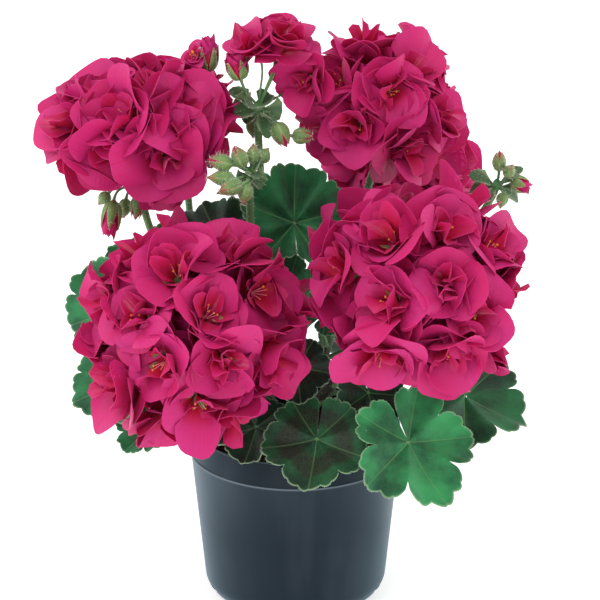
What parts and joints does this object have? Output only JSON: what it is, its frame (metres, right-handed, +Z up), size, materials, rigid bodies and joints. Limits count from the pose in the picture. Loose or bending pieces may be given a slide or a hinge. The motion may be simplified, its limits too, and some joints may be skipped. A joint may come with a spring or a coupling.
{
  "type": "potted pelargonium",
  "caption": "Bushy zonal pelargonium in a tapered plastic nursery pot: round umbels of double rose-magenta florets over lobed leaves on long petioles, with clusters of buds.",
  "frame": {"origin": "centre of the underside of the pot, on the surface it stands on", "axes": "+Z up the pot's axis, -Y towards the side with the two low umbels, +X to their right"},
  "size_m": [0.2867, 0.275, 0.3455],
  "materials": {
    "pot": "dark blue-grey injection-moulded plastic with a soft sheen",
    "soil": "crumbly dark peat",
    "stem": "green, finely hairy",
    "leaf": "matt green with a darker zone and pale veins",
    "petal": "satin rose-magenta",
    "bud": "light green, hairy, with red seams"
  },
  "bodies": {
    "root": {"pot": "pot", "soil": "soil", "stems": "stem", "leaf_01": "leaf", "leaf_02": "leaf", "leaf_03": "leaf", "leaf_04": "leaf", "leaf_05": "leaf", "leaf_06": "leaf", "leaf_07": "leaf", "leaf_08": "leaf", "leaf_09": "leaf", "leaf_10": "leaf", "leaf_11": "leaf", "leaf_12": "leaf", "leaf_13": "leaf", "leaf_14": "leaf", "leaf_15": "leaf", "leaf_16": "leaf", "leaf_17": "leaf", "leaf_18": "leaf", "leaf_19": "leaf", "leaf_20": "leaf", "leaf_21": "leaf", "leaf_22": "leaf", "leaf_23": "leaf", "leaf_24": "leaf", "stalk_low_left": "stem", "petals_low_left": "petal", "stalk_low_right": "stem", "petals_low_right": "petal", "stalk_top_left": "stem", "petals_top_left": "petal", "stalk_top_right": "stem", "petals_top_right": "petal", "stalk_back_right": "stem", "petals_back_right": "petal", "stalk_back_left": "stem", "petals_back_left": "petal", "stalk_half_open": "bud", "petals_half_open": "petal", "buds_front": "bud", "buds_right": "bud", "buds_back": "bud"}
  },
  "joints": []
}
